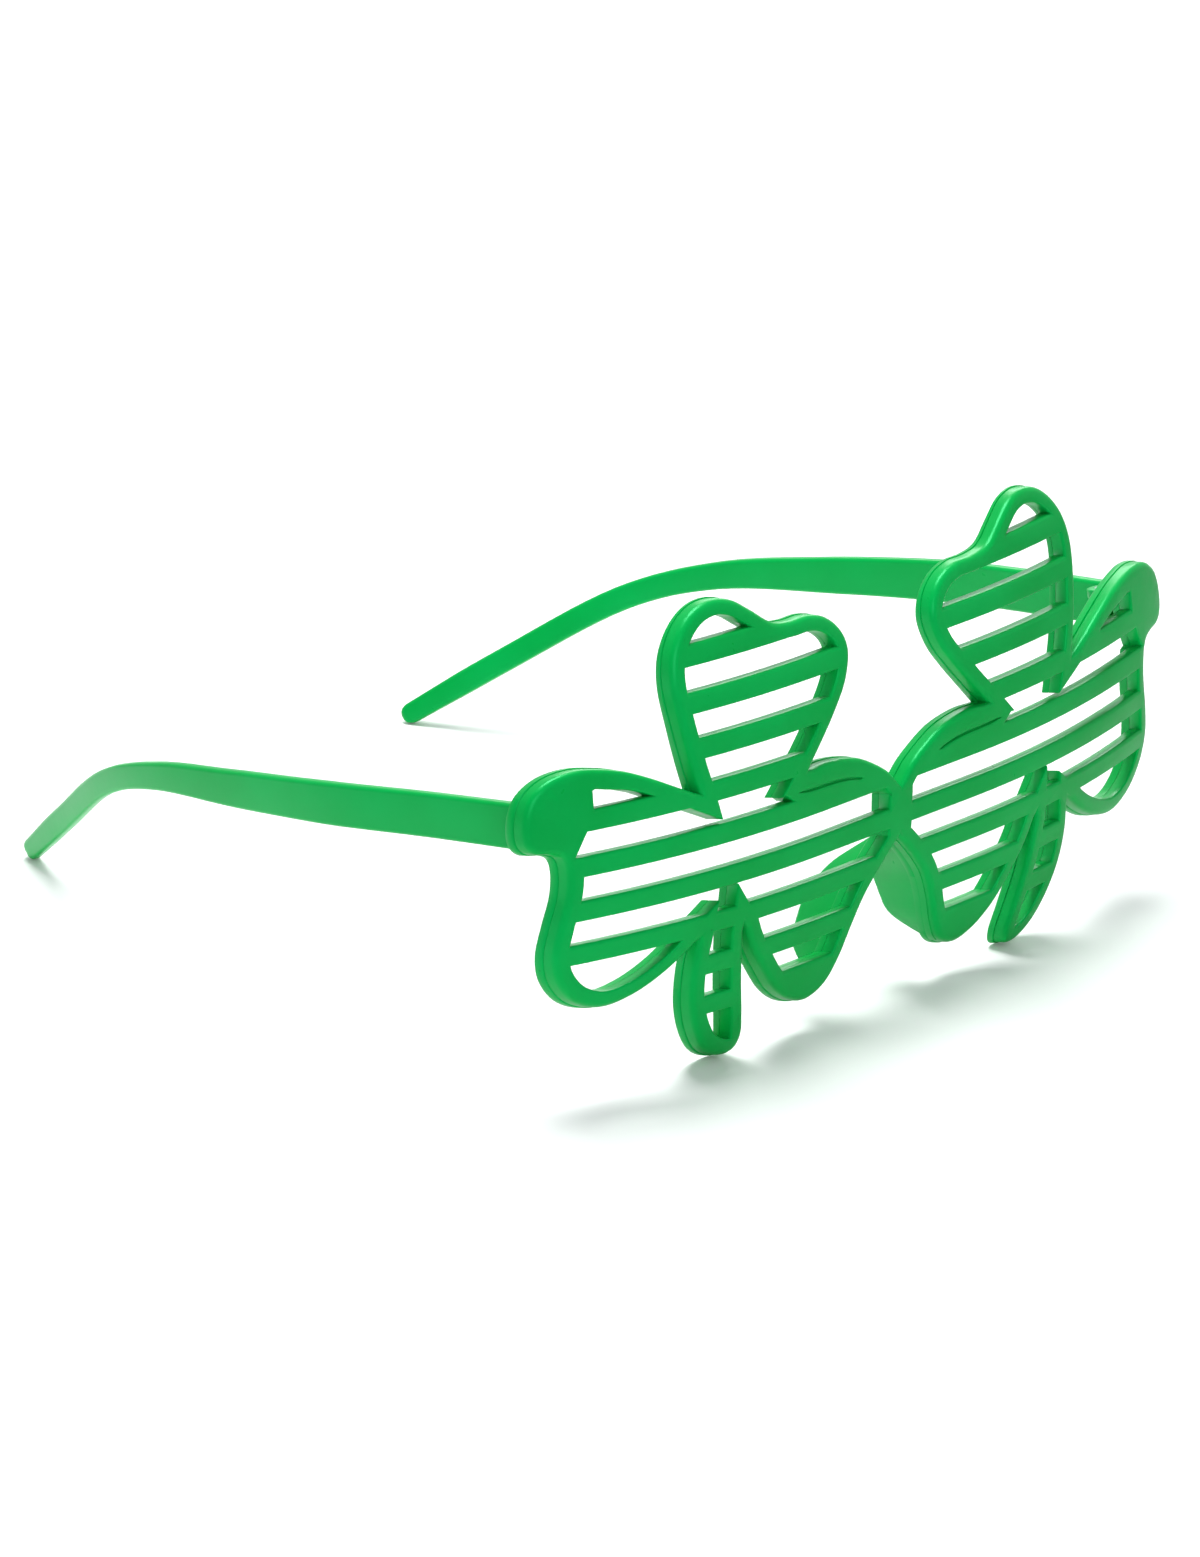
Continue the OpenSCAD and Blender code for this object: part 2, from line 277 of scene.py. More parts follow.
def counter_clockwise(loop):
    """The loop in that order, whichever way it was drawn."""
    area = sum(p[0] * q[1] - q[0] * p[1] for p, q in zip(loop, loop[1:] + loop[:1]))
    return loop if area > 0 else loop[::-1]


def moved_in(loop, widths, reach=MITRE):
    """A counter-clockwise loop moved inwards by a width for each side; negative is outwards."""
    result = []
    for i, p in enumerate(loop):
        a = turned((p - loop[i - 1]).normalized())
        b = turned((loop[(i + 1) % len(loop)] - p).normalized())
        wa, wb = widths[i - 1], widths[i]
        cross = a.x * b.y - a.y * b.x
        if abs(cross) < STRAIGHT:
            step = (a * wa + b * wb) / 2
        else:
            step = Vector(((wa * b.y - wb * a.y) / cross, (wb * a.x - wa * b.x) / cross))
        limit = reach * max(abs(wa), abs(wb))
        if step.length > limit > 0:
            step = step * (limit / step.length)
        result.append(p + step)
    return result


def without_folds(outline, moved, width):
    """The moved loop without the points that came closer to the outline than they should."""
    return [q for q in moved if min((p - q).length for p in outline) > FOLD_SHARE * width]


def within(point, polygon):
    """Whether a point of the front lies in a polygon."""
    x, z = point[0], point[1]
    inside = False
    for (ax, az), (bx, bz) in zip(polygon, polygon[1:] + polygon[:1]):
        if (az > z) != (bz > z) and x < (bx - ax) * (z - az) / (bz - az) + ax:
            inside = not inside
    return inside


def cut_by(loop, polygon, edge):
    """The loop without what lies in the polygon, whose corners named in edge take its place."""
    flags = [within(p, polygon) for p in loop]
    if not any(flags):
        return loop
    start = next(i for i in range(len(loop)) if flags[i] and not flags[i - 1])
    order = [loop[(start + i) % len(loop)] for i in range(len(loop))]
    kept = [p for p in order if not within(p, polygon)]

    def border(inner, outer):
        for _ in range(BORDER_ROUNDS):
            middle = (inner + outer) / 2
            inner, outer = (middle, outer) if within(middle, polygon) else (inner, middle)
        return outer

    count = next(i for i, p in enumerate(order) if not within(p, polygon))
    enter = border(order[0], order[-1])
    leave = border(order[count - 1], order[count])
    middle = [Vector(p) for p in edge]
    if middle and (middle[0] - enter).length > (middle[-1] - enter).length:
        middle.reverse()
    return kept + [enter] + middle + [leave]


def first_crossing(loop):
    """The first side of a loop that crosses one a few places on, and how far on that one is."""

    def turn(a, b, c):
        return (b[0] - a[0]) * (c[1] - a[1]) - (b[1] - a[1]) * (c[0] - a[0])

    n = len(loop)
    for i in range(n):
        for gap in range(2, min(CROSSING_SIDES, n - 2)):
            a, b = loop[i], loop[(i + 1) % n]
            c, d = loop[(i + gap) % n], loop[(i + gap + 1) % n]
            if turn(a, b, c) * turn(a, b, d) < 0 and turn(c, d, a) * turn(c, d, b) < 0:
                return i, gap
    return None


def uncrossed(loop, drawn=lambda loop: loop):
    """The loop without the points that make it cross itself, as it is or as drawn on the face."""
    while True:
        found = first_crossing(drawn(loop))
        if found is None:
            return loop
        n = len(loop)

        def bend(k):
            return abs((loop[k] - loop[k - 1]).cross(loop[(k + 1) % n] - loop[k]))

        least = min([(found[0] + 1 + k) % n for k in range(found[1])], key=bend)
        loop = loop[:least] + loop[least + 1:]


def tidy_loop(loop):
    """The loop without points that almost touch the one before."""
    kept = []
    for p in loop:
        if not kept or (p - kept[-1]).length > SAME_POINT:
            kept.append(p)
    if (kept[0] - kept[-1]).length <= SAME_POINT:
        kept.pop()
    return kept


# The front's curved face
def bulge(z, radius):
    """How far the face lies back above and below its foremost line."""
    return radius - math.sqrt(radius * radius - (z - BULGE_Z) ** 2)


def wrap(x):
    """How far the face lies back towards its sides."""
    u = max(abs(x) - FLAT_HALF, 0)
    return WRAP_R - math.sqrt(WRAP_R**2 - u * u)


def shell_y(x, z, radius, back):
    """Depth of the face, or of a surface that lies back behind it, at a place of the front."""
    u = max(abs(x) - FLAT_HALF, 0)
    r = WRAP_R - bulge(z, radius) - back
    return WRAP_R - math.sqrt(r * r - u * u)


def on_front(x, z, t):
    """Where a point lies that is t behind the face, along the walls that run back and down."""
    face = shell_y(x, z, BULGE_R, SET_BACK)
    if t > SLAT_DEPTH:
        back = RIM_DEPTH
        for _ in range(DEPTH_ROUNDS):
            back = shell_y(x, z - back * math.tan(LEAN), BACK_BULGE_R, RIM_DEPTH) - face
        t = SLAT_DEPTH + (t - SLAT_DEPTH) * (back - SLAT_DEPTH) / (RIM_DEPTH - SLAT_DEPTH)
    return Vector((x, face + t, z - t * math.tan(LEAN)))


def seen(p):
    """A point of the face as it is seen along the walls, where a rim's width is measured."""
    depth = bulge(p[1], BULGE_R) + wrap(p[0])
    return Vector((p[0], p[1] * math.cos(LEAN) + depth * math.sin(LEAN)))


def unseen(p):
    """The point of the face that is seen there."""
    z = p[1] / math.cos(LEAN)
    for _ in range(HEIGHT_ROUNDS):
        z = (p[1] - (bulge(z, BULGE_R) + wrap(p[0])) * math.sin(LEAN)) / math.cos(LEAN)
    return Vector((p[0], z))


# Modelling by hand
def draw_out(name, counts, rings):
    """A closed piece: outlines are filled to one face, which is then drawn out ring by ring."""
    bpy.ops.object.select_all(action="DESELECT")
    bpy.ops.mesh.primitive_circle_add(vertices=counts[0], fill_type="NOTHING", enter_editmode=True)
    piece = bpy.context.object
    for count in counts[1:]:
        bpy.ops.mesh.primitive_circle_add(vertices=count, fill_type="NOTHING")
    mesh = bmesh.from_edit_mesh(piece.data)
    place = mesh.verts.layers.int.new("place")
    for i, vert in enumerate(mesh.verts):
        vert[place] = i
        vert.co = piece.matrix_world.inverted() @ Vector(rings[0][i])
    bmesh.update_edit_mesh(piece.data)
    bpy.ops.mesh.select_all(action="SELECT")
    bpy.ops.mesh.fill(use_beauty=True)
    bpy.ops.mesh.select_all(action="SELECT")
    for ring in rings[1:]:
        bpy.ops.mesh.extrude_region_move()
        mesh = bmesh.from_edit_mesh(piece.data)
        place = mesh.verts.layers.int["place"]
        for vert in mesh.verts:
            if vert.select:
                vert.co = Vector(ring[vert[place]])
        bmesh.update_edit_mesh(piece.data)
    bpy.ops.object.mode_set(mode="OBJECT")
    piece.name = name
    piece.data.name = name
    return piece


def cut_in_strips(piece, places, direction):
    """Cuts through a piece's faces at some places along a direction."""
    bpy.context.view_layer.objects.active = piece
    bpy.ops.object.mode_set(mode="EDIT")
    for at in places:
        bpy.ops.mesh.select_all(action="SELECT")
        bpy.ops.mesh.bisect(plane_co=Vector(direction) * at, plane_no=direction)
    bpy.ops.object.mode_set(mode="OBJECT")


def put(piece, where=lambda p: p):
    """Moves every point of a piece to its place in the model, in metres."""
    for vert in piece.data.vertices:
        p = where(vert.co)
        vert.co = Vector((p[0], p[1] - MIDDLE_Y, p[2])) * MM


def join(name, pieces):
    """One piece of several, with its faces outwards and smooth up to sharp edges."""
    bpy.ops.object.select_all(action="DESELECT")
    for piece in pieces:
        piece.select_set(True)
    bpy.context.view_layer.objects.active = pieces[0]
    if len(pieces) > 1:
        bpy.ops.object.join()
    whole = bpy.context.object
    whole.name = name
    whole.data.name = name
    bpy.ops.object.mode_set(mode="EDIT")
    bpy.ops.mesh.select_all(action="SELECT")
    bpy.ops.mesh.normals_make_consistent(inside=False)
    bpy.ops.object.mode_set(mode="OBJECT")
    bpy.ops.object.shade_smooth_by_angle(angle=SMOOTH_ANGLE)
    whole.data.attributes.remove(whole.data.attributes["place"])
    return whole


def mirrored(loop):
    """The same loop in the other half of the front."""
    return counter_clockwise([Vector((-p[0], p[1])) for p in loop])


# The louvred front
leaf = smooth_run(LEAF_POINTS, LEAF_STEPS)
half = counter_clockwise(leaf)
half_seen = [seen(p) for p in half]
window = moved_in(half_seen, [RIM_W] * len(half), NOTCH_REACH)
window = without_folds(half_seen, window, RIM_W)
window = [unseen(p) for p in window]
window = cut_by(window, LOBE_ROOM, LOBE_EDGE)
window = cut_by(window, TIP_ROOM, [])
window = cut_by(window, JOINED_ROOM, JOINED_EDGE)
window = uncrossed(counter_clockwise(tidy_loop(window)))
outline = counter_clockwise(tidy_loop(leaf + [Vector((-p[0], p[1])) for p in leaf[-2:0:-1]]))
groove = smooth_run(GROOVE_TOP, GROOVE_STEPS) + smooth_run(GROOVE_BOTTOM, GROOVE_STEPS)
groove = counter_clockwise(tidy_loop(groove))


def slot_loops():
    """The window cut into slots: its face is bisected at the slats' edges, and they come out."""
    bpy.ops.object.select_all(action="DESELECT")
    bpy.ops.mesh.primitive_circle_add(vertices=len(window), fill_type="NGON", enter_editmode=True)
    sheet = bpy.context.object
    mesh = bmesh.from_edit_mesh(sheet.data)
    for vert, p in zip(mesh.verts, window):
        vert.co = (p[0], p[1], 0)
    bmesh.update_edit_mesh(sheet.data)
    shared_z = SLAT_Z + SHARED_ROW * SLAT_PITCH
    for low in (False, True):
        for row in SLAT_ROWS:
            if (row < SHARED_ROW) != low:
                continue
            z = SLAT_Z + SLAT_PITCH * row
            for edge in (z, z + SLAT_H):
                mesh = bmesh.from_edit_mesh(sheet.data)
                for face in mesh.faces:
                    middle = face.calc_center_bounds()
                    inner = middle.x > LOW_SLATS_FROM_X and middle.y < shared_z
                    face.select_set(not low or inner)
                bmesh.update_edit_mesh(sheet.data)
                bpy.ops.mesh.bisect(plane_co=(0, edge, 0), plane_no=(0, 1, 0))
            mesh = bmesh.from_edit_mesh(sheet.data)
            gone = [
                face for face in mesh.faces
                if z < face.calc_center_bounds().y < z + SLAT_H
                and max(v.co.y for v in face.verts) < z + SLAT_H + ON_EDGE
                and min(v.co.y for v in face.verts) > z - ON_EDGE
            ]
            bmesh.ops.delete(mesh, geom=gone, context="FACES")
            bmesh.update_edit_mesh(sheet.data)
    bpy.ops.object.mode_set(mode="OBJECT")
    loops = []
    for face in sheet.data.polygons:
        if face.area > LEAST_SLOT_AREA:
            loop = [Vector(sheet.data.vertices[i].co[:2]) for i in face.vertices]
            loops.append(counter_clockwise(tidy_loop(loop)))
    bpy.data.objects.remove(sheet)
    return loops


def slot_rounding(loop):
    """How much each side of a slot is rounded: most on top of a slat, least under one."""
    widths = []
    for p, q in zip(loop, loop[1:] + loop[:1]):
        level = (p.y - SLAT_Z) % SLAT_PITCH
        flat = abs(p.y - q.y) < ON_EDGE
        if flat and abs(level - SLAT_H) < ON_ROUNDED_EDGE:
            widths.append(SLAT_TOP_ROUND)
        elif flat and min(level, SLAT_PITCH - level) < ON_ROUNDED_EDGE:
            widths.append(SLAT_UNDER_ROUND)
        else:
            widths.append(RIM_INNER_ROUND)
    return widths


def rounded_ring(loop, widths, sign, angle, base=0.0):
    """One ring of a rounded edge, from the face at angle 0 to the wall at 90 degrees."""
    out = 1 - math.sin(math.radians(angle))
    down = 1 - math.cos(math.radians(angle))
    sides = [sign * (w * out + base) for w in widths]
    flat = moved_in(loop, sides)
    return [(p.x, p.y, down * (widths[i - 1] + widths[i]) / 2) for i, p in enumerate(flat)]


def slot_on_face(loop):
    """A slot where its rounded edge begins on the face."""
    return rounded_ring(loop, slot_rounding(loop), -1, 0)


def plain_ring(loop, width, t):
    """One ring of a wall: the loop moved in by one width, at a depth behind the face."""
    return [(p.x, p.y, t) for p in moved_in(loop, [width] * len(loop))]


slots = [uncrossed(loop, drawn=slot_on_face) for loop in slot_loops() + [groove]]
slots += [mirrored(loop) for loop in slots]

plate_rings = []
for angle in EDGE_ANGLES:
    ring = rounded_ring(outline, [OUTER_ROUND] * len(outline), 1, angle, LIP)
    for loop in slots:
        ring += rounded_ring(loop, slot_rounding(loop), -1, angle)
    plate_rings.append(ring)
for t, inward, outward in (
    (SLAT_DEPTH - PARTING_NOTCH, LIP, 0),
    (SLAT_DEPTH, LIP + PARTING_NOTCH, -PARTING_NOTCH),
):
    ring = plain_ring(outline, inward, t)
    for loop in slots:
        ring += plain_ring(loop, outward, t)
    plate_rings.append(ring)
plate = draw_out("face_plate", [len(outline)] + [len(loop) for loop in slots], plate_rings)

windows = [window, mirrored(window)]
band_rings = []
for t, inward, outward in BAND_RINGS:
    ring = plain_ring(outline, inward, t)
    for loop in windows:
        ring += plain_ring(loop, outward, t)
    band_rings.append(ring)
band = draw_out("rim_band", [len(outline)] + [len(loop) for loop in windows], band_rings)

# The blind groove's floor lies just under the face
floors = []
for loop in (groove, mirrored(groove)):
    depths = (GROOVE_DEPTH, SLAT_DEPTH + FLOOR_BACK)
    rings = [plain_ring(loop, -FLOOR_SIDES, t) for t in depths]
    floors.append(draw_out("groove_floor", [len(loop)], rings))

for piece in [plate, band] + floors:
    cut_in_strips(piece, [x * STRIP for x in STRIPS_X], (1, 0, 0))
    cut_in_strips(piece, [z * STRIP for z in STRIPS_Z], (0, 1, 0))
    put(piece, lambda p: on_front(p[0], p[1], p[2]))


def nose_pad(side):
    """A wall that runs back from the inner leaf's lower edge, with a rounded rear edge."""
    lower = leaf[len(leaf) // 2:]
    run = [p for p in lower if PAD_FROM_X < p[0] < PAD_TO_X and p[1] < PAD_BELOW_Z]
    low = min(range(len(run)), key=lambda i: run[i][1])
    run = run[low:]
    edge = smooth_run(PAD_EDGE, PAD_STEPS)
    depth_at = [(p[1], RIM_DEPTH + p[0] * (PAD_REACH - RIM_DEPTH)) for p in edge]
    rings = []
    for i, p in enumerate(run):
        course = (run[min(i + 1, len(run) - 1)] - run[max(i - 1, 0)]).normalized()
        # The leaf runs so that its inside is on the left
        inward = turned(course)
        face = shell_y(p[0], p[1], BULGE_R, 0)
        t = RIM_DEPTH
        while t < PAD_DEEPEST and face + t < value_at(depth_at, p[1] - t * math.tan(LEAN)):
            t += PAD_SEARCH_STEP
        ring = []
        for share, short in PAD_SECTION:
            at = p + inward * (PAD_T * share + LIP * (1 - share) * PAD_LIP_SHARE)
            back = PAD_ROOT if short is None else max(t - short, PAD_ROOT)
            y = shell_y(at[0], at[1], BULGE_R, 0) + back
            ring.append((side * -at[0], y, at[1] - back * math.tan(LEAN)))
        rings.append(ring)
    piece = draw_out("nose_pad", [len(rings[0])], rings)
    put(piece)
    return piece


def at_hinge(side):
    """From the hinge's own frame, with Z along the pin, to the model."""
    lean = Matrix.Rotation(-LEAN, 3, "X")

    def where(p):
        q = lean @ Vector(p)
        return Vector((side * -(-PIN_X + q[0]), PIN_Y + q[1], HINGE_Z + q[2]))

    return where


def hinge_eye(name, side, bottom, height, root, turn, hole):
    """A round eye on the pin with a straight root to one side, its edges a little rounded."""
    outer = []
    for i in range(EYE_SIDES + 1):
        a = math.pi * i / EYE_SIDES
        outer.append(Vector((KNUCKLE_R * math.cos(a), KNUCKLE_R * math.sin(a))))
    outer += [Vector((-KNUCKLE_R, -root)), Vector((KNUCKLE_R, -root))]
    outer = counter_clockwise(outer)
    steps = [2 * math.pi * i / EYE_SIDES for i in range(EYE_SIDES)]
    bore = [Vector((hole * math.cos(a), hole * math.sin(a))) for a in steps]
    spin = Matrix.Rotation(math.radians(turn), 2)
    rings = []
    for inset, z in EYE_EDGE + [(inset, height - z) for inset, z in EYE_EDGE[::-1]]:
        ring = [spin @ p for p in moved_in(outer, [inset] * len(outer))]
        ring += [spin @ (p * (1 + inset * BORE_FLARE / hole)) for p in bore]
        rings.append([(p.x, p.y, bottom + z) for p in ring])
    piece = draw_out(name, [len(outer), len(bore)], rings)
    put(piece, at_hinge(side))
    return piece


pin_half = KNUCKLE_H / 2 + LUG_GAP + LUG_H
lug_root = PIN_Y - wrap(PIN_X) - RIM_DEPTH + LUG_INTO_RIM
front_pieces = [plate, band] + floors
for side in (1, -1):
    front_pieces.append(nose_pad(side))
    for bottom in (-pin_half, pin_half - LUG_H):
        lug = hinge_eye("lug", side, bottom, LUG_H, lug_root, 0, PIN_R)
        front_pieces.append(lug)
louvred_front = join("louvred_front", front_pieces)


# The arms
def arm(name, side):
    """A flat arm with soft edges that bends down and in behind the ear and ends round."""
    plan = [Vector((-PIN_X - p[0], p[1])) for p in smooth_run(ARM_PLAN, ARM_STEPS)]
    rise = HINGE_Z - TIP_HALF_H
    line = [Vector((p[0], TIP_HALF_H + p[1] * rise)) for p in smooth_run(ARM_SIDE, ARM_STEPS)]
    x_at = [(p[1], p[0]) for p in plan]
    stations = []
    for i, p in enumerate(line):
        course = (line[min(i + 1, len(line) - 1)] - line[max(i - 1, 0)]).normalized()
        grown = TIP_HALF_H + (ARM_HALF_H - TIP_HALF_H) * value_at(ARM_GROWTH, p[0])
        stations.append((p, course, grown, 1.0))
    end, course = line[-1], (line[-1] - line[-2]).normalized()
    for angle in TIP_ANGLES:
        share = math.sin(math.radians(angle))
        tall = TIP_HALF_H * math.cos(math.radians(angle))
        # The flat sides close in only near the tip's end
        thin = math.sqrt(1 - share**6) if angle > TIP_THINS_FROM else 1.0
        stations.append((end + course * TIP_HALF_H * share, course, tall, thin))
    rings = []
    for number, (p, course, tall, thin) in enumerate(stations):
        x = value_at(x_at, p[0])
        # How far the arm goes sideways over a millimetre of its length
        drift = value_at(x_at, p[0] + 0.5) - value_at(x_at, p[0] - 0.5)
        ahead = Vector((drift, 1.0)).normalized()
        across = Vector((1 / ahead.y, 0, 0))
        upward = Vector((0, -course.y, course.x))
        half_t = ARM_T / 2 * thin
        r = min(ARM_CORNER, half_t * ARM_CORNER_SHARE, tall * ARM_CORNER_SHARE)
        ring = []
        for cx, cz, start in ((1, 1, 0), (-1, 1, 90), (-1, -1, 180), (1, -1, 270)):
            for step in range(CORNER_STEPS + 1):
                a = math.radians(start + step * 90 / CORNER_STEPS)
                ring.append(Vector((x, p[0], p[1])) + across * (cx * (half_t - r) + r * math.cos(a))
                            + upward * (cz * (tall - r) + r * math.sin(a)))
        if number:
            rings.append(ring)
            continue
        # The front end follows the back of the end lobe, with its edge rounded
        for pull, gap in ARM_END_RINGS:
            first = []
            for q in ring:
                from_middle = q - Vector((x, p[0], p[1]))
                at = q - from_middle.normalized() * pull
                y = shell_y(at.x, at.z, BACK_BULGE_R, RIM_DEPTH + SEAT_GAP) + gap
                first.append(Vector((at.x, y, at.z)))
            rings.append(first)
    # Rings that would reach into that end are left out
    ends, rest = rings[:len(ARM_END_RINGS)], rings[len(ARM_END_RINGS):]
    free = max(p.y for p in ends[-1]) + ARM_END_ROOM
    rings = ends + [ring for ring in rest if min(p.y for p in ring) > free]
    rings = [[(side * -p[0], p[1], p[2]) for p in ring] for ring in rings]
    bar = draw_out(name, [len(rings[0])], rings)
    put(bar)
    hole = PIN_R + PIN_GAP
    knuckle = hinge_eye("knuckle", side, -KNUCKLE_H / 2, KNUCKLE_H, KNUCKLE_ROOT, -90, hole)
    return join(name, [bar, knuckle])


arm_left = arm("arm_left", -1)
arm_right = arm("arm_right", 1)


# Materials
def linear(code):
    """An sRGB hex colour as the linear values that a shader takes."""
    parts = [int(code[i:i + 2], 16) / 255 for i in (1, 3, 5)]
    flat = [c / 12.92 if c <= 0.04045 else ((c + 0.055) / 1.055) ** 2.4 for c in parts]
    return tuple(flat) + (1.0,)


def add(tree, kind, settings=None, **links):
    """Adds one node, sets its values and links its inputs."""
    node = tree.nodes.new(kind)
    for key, value in (settings or {}).items():
        if key in node.inputs:
            node.inputs[key].default_value = value
        else:
            setattr(node, key, value)
    for key, source in links.items():
        tree.links.new(source, node.inputs[key.replace("_", " ")])
    return node


def new_material(name):
    """A material without nodes, and its tree."""
    material = bpy.data.materials.new(name)
    material.use_nodes = True
    material.node_tree.nodes.clear()
    return material, material.node_tree


def moulded_polystyrene(name):
    """Green polystyrene from a polished mould: satin gloss, uneven skin, slight colour drift."""
    material, tree = new_material(name)
    place = add(tree, "ShaderNodeTexCoord").outputs["Object"]
    # Colour drifts over some 20 mm, as the pigment mixes while the plastic flows in
    drift = add(tree, "ShaderNodeTexNoise", {"Scale": 50.0, "Detail": 2.0, "Roughness": 0.5},
                Vector=place)
    colour = add(tree, "ShaderNodeValToRGB", Fac=drift.outputs["Fac"])
    colour.color_ramp.elements[0].position = 0.35
    colour.color_ramp.elements[0].color = linear("#00A443")
    colour.color_ramp.elements[1].position = 0.65
    colour.color_ramp.elements[1].color = linear("#01AC4B")
    # A few specks of dust of about 0.3 mm sit in the plastic, some 10 mm apart
    dust = add(tree, "ShaderNodeTexVoronoi", {"Scale": 120.0}, Vector=place)
    clean = add(tree, "ShaderNodeMapRange", {"From Min": 0.012, "From Max": 0.02},
                Value=dust.outputs["Distance"])
    colour = add(tree, "ShaderNodeMixRGB", {"Color1": linear("#0B6E38")},
                 Fac=clean.outputs["Result"], Color2=colour.outputs["Color"])
    # Handling dulls the gloss in patches of a few millimetres
    dull = add(tree, "ShaderNodeTexNoise", {"Scale": 260.0, "Detail": 4.0, "Roughness": 0.6},
               Vector=place)
    gloss = add(tree, "ShaderNodeMapRange", {"To Min": 0.24, "To Max": 0.36},
                Value=dull.outputs["Fac"])
    # The skin waves over about 1.5 mm where it cooled, and has a fine mould grain of 0.15 mm
    waves = add(tree, "ShaderNodeTexNoise", {"Scale": 650.0, "Detail": 1.0}, Vector=place)
    grain = add(tree, "ShaderNodeTexNoise", {"Scale": 6500.0, "Detail": 1.0}, Vector=place)
    wavy = add(tree, "ShaderNodeBump", {"Strength": 0.25, "Distance": 0.00004},
               Height=waves.outputs["Fac"])
    skin = add(tree, "ShaderNodeBump", {"Strength": 0.2, "Distance": 0.000006},
               Height=grain.outputs["Fac"], Normal=wavy.outputs["Normal"])
    # The pigment also colours the sheen of faces that are seen straight on
    body = add(tree, "ShaderNodeBsdfPrincipled",
               {"IOR": 1.55, "Specular Tint": (0.1, 1.0, 0.45, 1.0)},
               Base_Color=colour.outputs["Color"], Roughness=gloss.outputs["Result"],
               Normal=skin.outputs["Normal"])
    add(tree, "ShaderNodeOutputMaterial", Surface=body.outputs["BSDF"])
    return material


def drawn_steel(name):
    """Bright drawn wire: a finely uneven skin and a soft metal gloss."""
    material, tree = new_material(name)
    place = add(tree, "ShaderNodeTexCoord").outputs["Object"]
    lines = add(tree, "ShaderNodeTexNoise", {"Scale": 4000.0, "Detail": 3.0}, Vector=place)
    gloss = add(tree, "ShaderNodeMapRange", {"To Min": 0.25, "To Max": 0.4},
                Value=lines.outputs["Fac"])
    cut = add(tree, "ShaderNodeBump", {"Strength": 0.3, "Distance": 0.00001},
              Height=lines.outputs["Fac"])
    body = add(tree, "ShaderNodeBsdfPrincipled",
               {"Metallic": 1.0, "Base Color": linear("#C9CACC")},
               Roughness=gloss.outputs["Result"], Normal=cut.outputs["Normal"])
    add(tree, "ShaderNodeOutputMaterial", Surface=body.outputs["BSDF"])
    return material


def paint(piece, material):
    piece.data.materials.clear()
    piece.data.materials.append(material)


green = moulded_polystyrene("moulded_polystyrene_green")
steel = drawn_steel("drawn_steel_wire")
for piece, body, node, slot in (
    (louvred_front, "front", "front_frame", "front"),
    (arm_left, "left_arm", "temple_left", "arms"),
    (arm_right, "right_arm", "temple_right", "arms"),
):
    paint(piece, green)
    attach(piece, body)
    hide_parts(node)
for name in ("hinge_pin_left", "hinge_pin_right"):
    paint(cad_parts[name], steel)


# Table, light and camera
bpy.ops.object.select_all(action="DESELECT")
bpy.ops.mesh.primitive_plane_add(size=TABLE_SIZE, location=(0, 0, TABLE_Z))
table = bpy.context.object
table.name = "table"
material, tree = new_material("white_card")
path = add(tree, "ShaderNodeLightPath")
card = add(tree, "ShaderNodeBsdfDiffuse", {"Color": linear("#F4F6F5")})
# Painted dark reflection: on the viewer's side the card is painted dark where the plastic's sheen
# shows it, so that the sheen there is darker; to other rays the card stays white
shade = add(tree, "ShaderNodeBsdfDiffuse", {"Color": linear("#1A1A1A")})
geometry = add(tree, "ShaderNodeNewGeometry")
place = add(tree, "ShaderNodeSeparateXYZ", Vector=geometry.outputs["Position"])
near = add(tree, "ShaderNodeMapRange",
           {"From Min": SHADE_FROM_Y, "From Max": SHADE_TO_Y, "To Min": 0.0, "To Max": SHADE_MOST},
           Value=place.outputs["Y"])
painted_dark_reflection_mask = add(tree, "ShaderNodeMath", {"operation": "MULTIPLY"})
tree.links.new(near.outputs["Result"], painted_dark_reflection_mask.inputs[0])
tree.links.new(path.outputs["Is Glossy Ray"], painted_dark_reflection_mask.inputs[1])
surface = add(tree, "ShaderNodeMixShader", Fac=painted_dark_reflection_mask.outputs["Value"])
tree.links.new(card.outputs["BSDF"], surface.inputs[1])
tree.links.new(shade.outputs["BSDF"], surface.inputs[2])
# To the camera alone the card is a little lighter, as a white ground is in such a photo
glow = add(tree, "ShaderNodeMapRange", {"To Min": 0.0, "To Max": TABLE_GLOW},
           Value=path.outputs["Is Camera Ray"])
lift = add(tree, "ShaderNodeEmission", {"Color": (1, 1, 1, 1)}, Strength=glow.outputs["Result"])
both = add(tree, "ShaderNodeAddShader")
tree.links.new(surface.outputs[0], both.inputs[0])
tree.links.new(lift.outputs[0], both.inputs[1])
add(tree, "ShaderNodeOutputMaterial", Surface=both.outputs[0])
paint(table, material)

world = bpy.data.worlds.new("studio")
bpy.context.scene.world = world
world.use_nodes = True
tree = world.node_tree
tree.nodes.clear()
path = add(tree, "ShaderNodeLightPath")
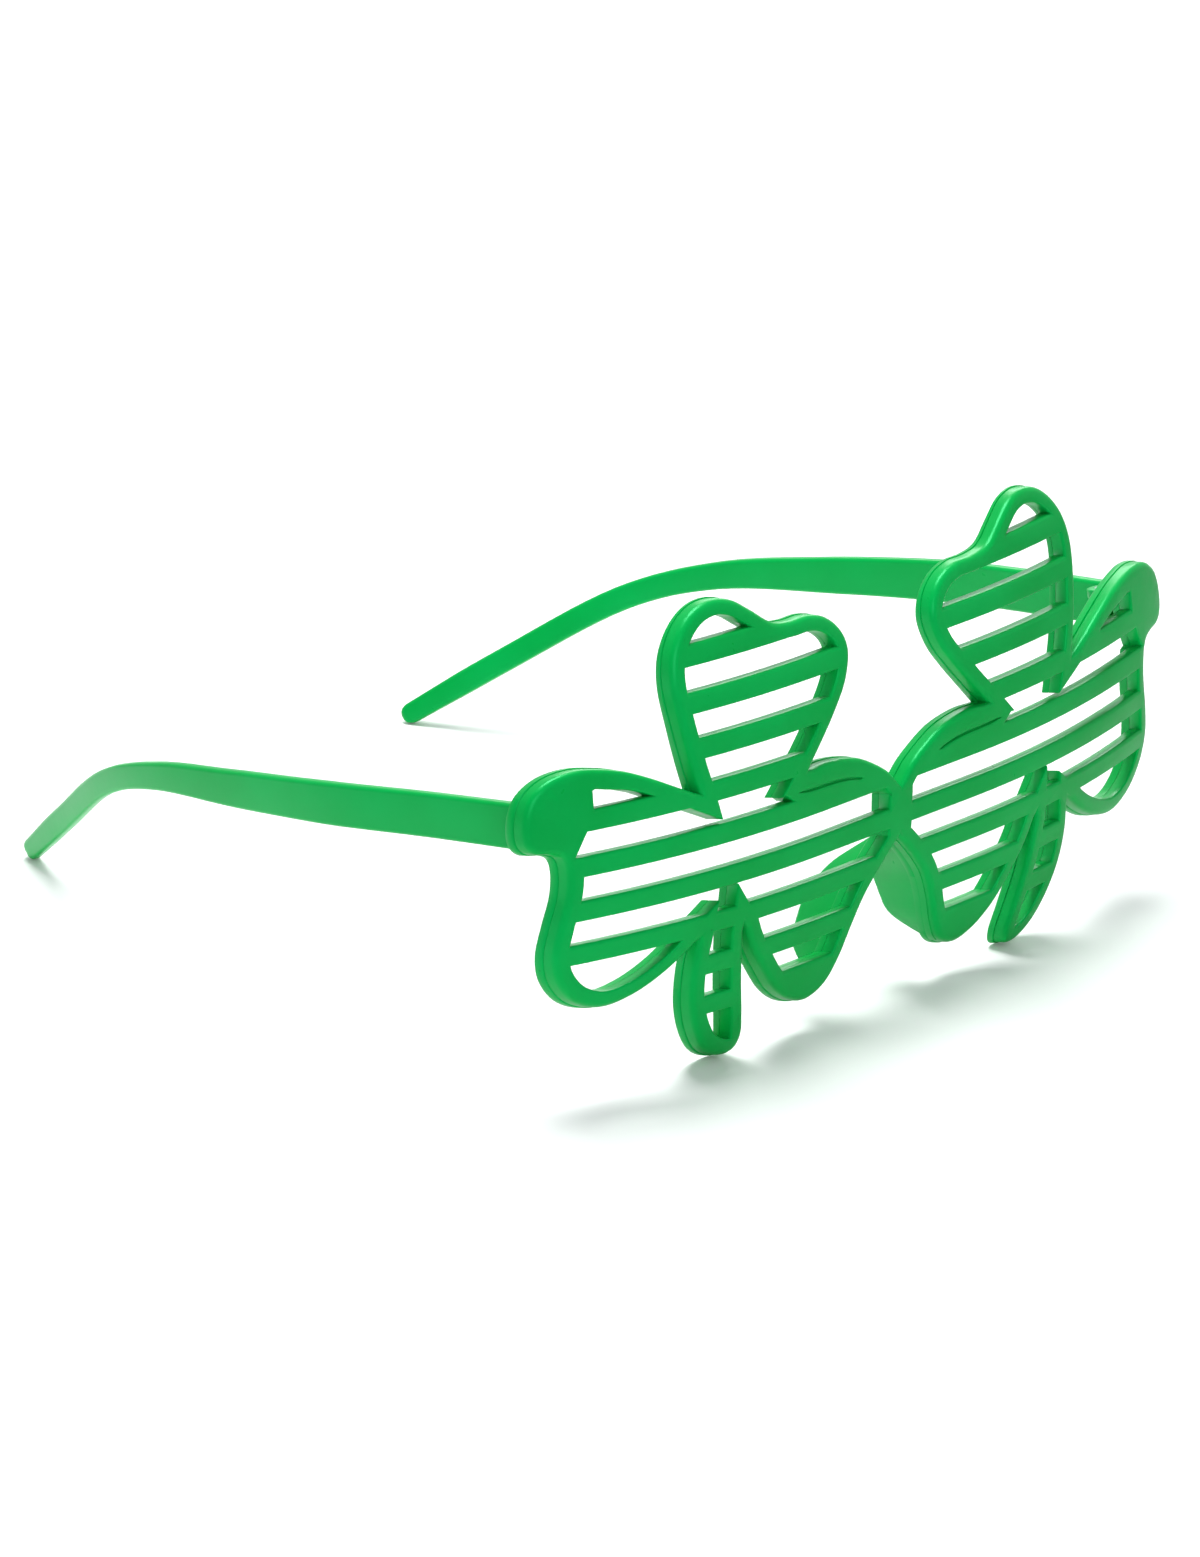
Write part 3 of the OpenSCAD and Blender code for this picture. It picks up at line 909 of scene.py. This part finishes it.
# The room is white to the camera, and a part of the way from its light to white in the sheen
shown = add(tree, "ShaderNodeMath", {"operation": "MAXIMUM"})
tree.links.new(path.outputs["Is Camera Ray"], shown.inputs[0])
mirrored_room = add(tree, "ShaderNodeMath", {"operation": "MULTIPLY"})
tree.links.new(path.outputs["Is Glossy Ray"], mirrored_room.inputs[0])
mirrored_room.inputs[1].default_value = ROOM_IN_SHEEN
tree.links.new(mirrored_room.outputs[0], shown.inputs[1])
level = add(tree, "ShaderNodeMapRange", {"To Min": ROOM_LIGHT, "To Max": 1.0},
            Value=shown.outputs["Value"])
sky = add(tree, "ShaderNodeBackground", {"Color": linear("#F6FAFF")},
          Strength=level.outputs["Result"])
add(tree, "ShaderNodeOutputWorld", Surface=sky.outputs["Background"])


def soft_box(name, position, target, size, power):
    """A square lamp that is aimed at a place."""
    light = bpy.data.lights.new(name, "AREA")
    light.shape = "SQUARE"
    light.size = size
    light.energy = power
    lamp = bpy.data.objects.new(name, light)
    bpy.context.scene.collection.objects.link(lamp)
    lamp.location = position
    aim = Vector(target) - Vector(position)
    lamp.rotation_euler = aim.to_track_quat("-Z", "Y").to_euler()


soft_box("overhead_box", position=(0.05, 0.12, 0.9), target=(0, -0.02, 0.0), size=0.45, power=9.0)
soft_box("right_box", position=(0.75, 0.5, 0.55), target=(0, 0, 0.04), size=0.5, power=3.2)
soft_box("front_box", position=(-0.9, -1.2, 0.7), target=(0, -0.05, 0.04), size=0.9, power=7.0)

eye = bpy.data.cameras.new("photo_camera")
camera = bpy.data.objects.new("photo_camera", eye)
bpy.context.scene.collection.objects.link(camera)
right = Vector((0.66348895, -0.74790926, 0.02035069))
up = Vector((0.24514971, 0.24301601, 0.93853335))
back = Vector((-0.70688333, -0.61771754, 0.34458817))
turn = Matrix((right, up, back)).transposed().to_4x4()
stand = Vector((-1638.723, -1442.507, 822.746)) * MM
camera.matrix_world = Matrix.Translation(stand) @ turn
eye.sensor_fit = "VERTICAL"
eye.sensor_height = SENSOR_HEIGHT
eye.lens = SENSOR_HEIGHT * FOCAL_LENGTH_PX / PHOTO_HEIGHT
eye.clip_start = 0.1
eye.clip_end = 20
bpy.context.scene.camera = camera
bpy.context.scene.view_settings.view_transform = "Standard"
